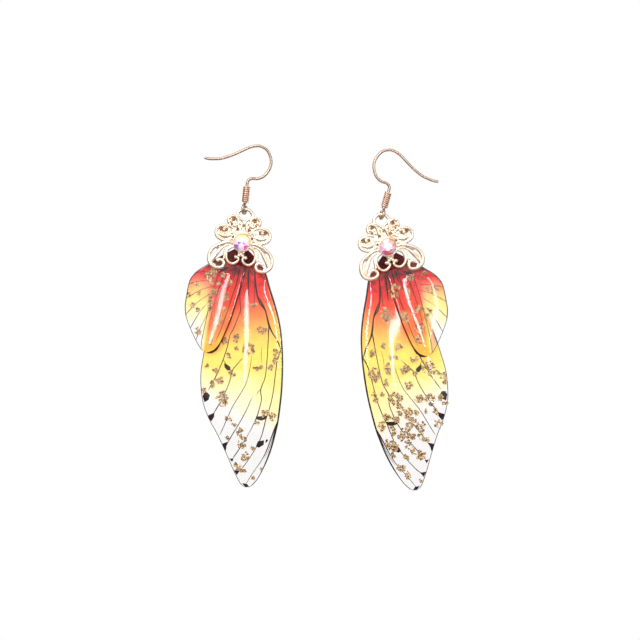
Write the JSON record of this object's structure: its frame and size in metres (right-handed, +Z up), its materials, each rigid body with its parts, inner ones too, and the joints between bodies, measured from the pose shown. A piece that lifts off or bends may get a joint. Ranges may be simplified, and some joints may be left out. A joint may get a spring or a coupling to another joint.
{
  "type": "fairy wing drop earrings",
  "caption": "Drop earrings: resin fairy wings under a gold filigree cap with a stone, swinging on French-hook ear wires that pass through the ear lobe.",
  "frame": {"origin": "under the crown of the left earring's ear wire, where the ear lobe carries it", "axes": "+Z up, +X to the viewer's right from the left earring to the right one, -Y the front of the wings"},
  "size_m": [0.0695, 0.0046, 0.0913],
  "materials": {
    "rose_gold": "polished rose-gold plating on brass wire",
    "pale_gold": "polished pale-gold plating on a brass stamping",
    "crystal": "faceted glass with an aurora coating",
    "clear_glue": "clear set adhesive",
    "printed_film": "clear film printed red, orange and yellow with black veins",
    "clear_resin": "glossy clear resin",
    "gold_foil": "crumpled gold-coloured leaf",
    "black_ink": "black printing ink"
  },
  "bodies": {
    "root": {"left_ear_wire": "rose_gold", "right_ear_wire": "rose_gold"},
    "left_coil": {"left_ear_wire_coil": "rose_gold"},
    "left_pendant": {"left_filigree_cap": "pale_gold", "left_bezel_cup": "pale_gold", "left_crystal": "crystal", "left_cap_glue_pad": "clear_glue", "left_hindwing_film": "printed_film", "left_hindwing_front_resin": "clear_resin", "left_hindwing_back_resin": "clear_resin", "left_wing_glue_pad": "clear_glue", "left_forewing_film": "printed_film", "left_forewing_front_resin": "clear_resin", "left_forewing_back_resin": "clear_resin"},
    "right_coil": {"right_ear_wire_coil": "rose_gold"},
    "right_pendant": {"right_filigree_cap": "pale_gold", "right_bezel_cup": "pale_gold", "right_crystal": "crystal", "right_cap_glue_pad": "clear_glue", "right_hindwing_film": "printed_film", "right_hindwing_front_resin": "clear_resin", "right_hindwing_back_resin": "clear_resin", "right_wing_glue_pad": "clear_glue", "right_forewing_film": "printed_film", "right_forewing_front_resin": "clear_resin", "right_forewing_back_resin": "clear_resin"}
  },
  "joints": [
    {"name": "left_pendant_swing", "type": "hinge", "parent": "root", "child": "left_pendant", "pos_m": [-0.00415, 0, -0.01616], "axis": [0.934, -0.342, -0.1031], "range_deg": [-75, 75]},
    {"name": "left_coil_spin", "type": "hinge", "parent": "root", "child": "left_coil", "pos_m": [-0.00415, 0, -0.01616], "axis": [0.1097, 0, 0.994], "continuous": true},
    {"name": "right_pendant_swing", "type": "hinge", "parent": "root", "child": "right_pendant", "pos_m": [0.03205, 0, -0.01754], "axis": [0.9046, 0.342, -0.2543], "range_deg": [-75, 75]},
    {"name": "right_coil_spin", "type": "hinge", "parent": "root", "child": "right_coil", "pos_m": [0.03205, 0, -0.01754], "axis": [0.2706, 0, 0.9627], "continuous": true}
  ]
}
